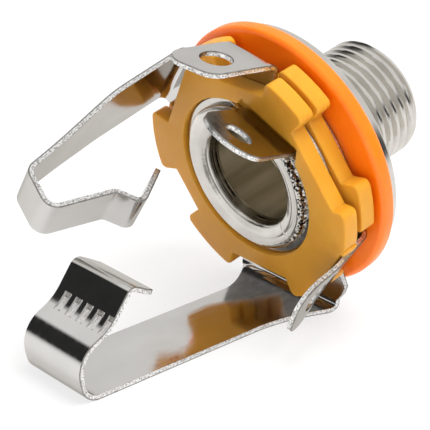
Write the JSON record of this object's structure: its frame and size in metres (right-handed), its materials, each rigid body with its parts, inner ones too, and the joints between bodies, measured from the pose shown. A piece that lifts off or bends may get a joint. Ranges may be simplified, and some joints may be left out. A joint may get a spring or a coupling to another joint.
{
  "type": "panel jack",
  "caption": "Open panel jack for a 6.35 mm plug: a threaded bushing with a flange, an orange insulating washer, amber wafers, hooked contact springs and solder lugs.",
  "frame": {"origin": "centre of the bore, on the plane of the flange's front face that seats on the panel", "axes": "+Z along the plug's axis towards the threaded end, +X towards the arm of the tip spring"},
  "size_m": [0.0243, 0.0212, 0.034],
  "materials": {
    "bushing_nickel": "bright nickel plate over turned brass",
    "orange_plastic": "moulded, semi-gloss",
    "spring_nickel": "bright nickel plate on spring sheet, sheared edges",
    "amber_resin": "moulded, slightly translucent",
    "terminal_nickel": "nickel plate on stamped sheet"
  },
  "bodies": {
    "root": {"bushing": "bushing_nickel", "front_washer": "orange_plastic", "tip_spring": "spring_nickel", "front_wafer": "amber_resin", "ring_spring": "spring_nickel", "rear_wafer": "amber_resin", "sleeve_terminal": "terminal_nickel"}
  },
  "joints": []
}
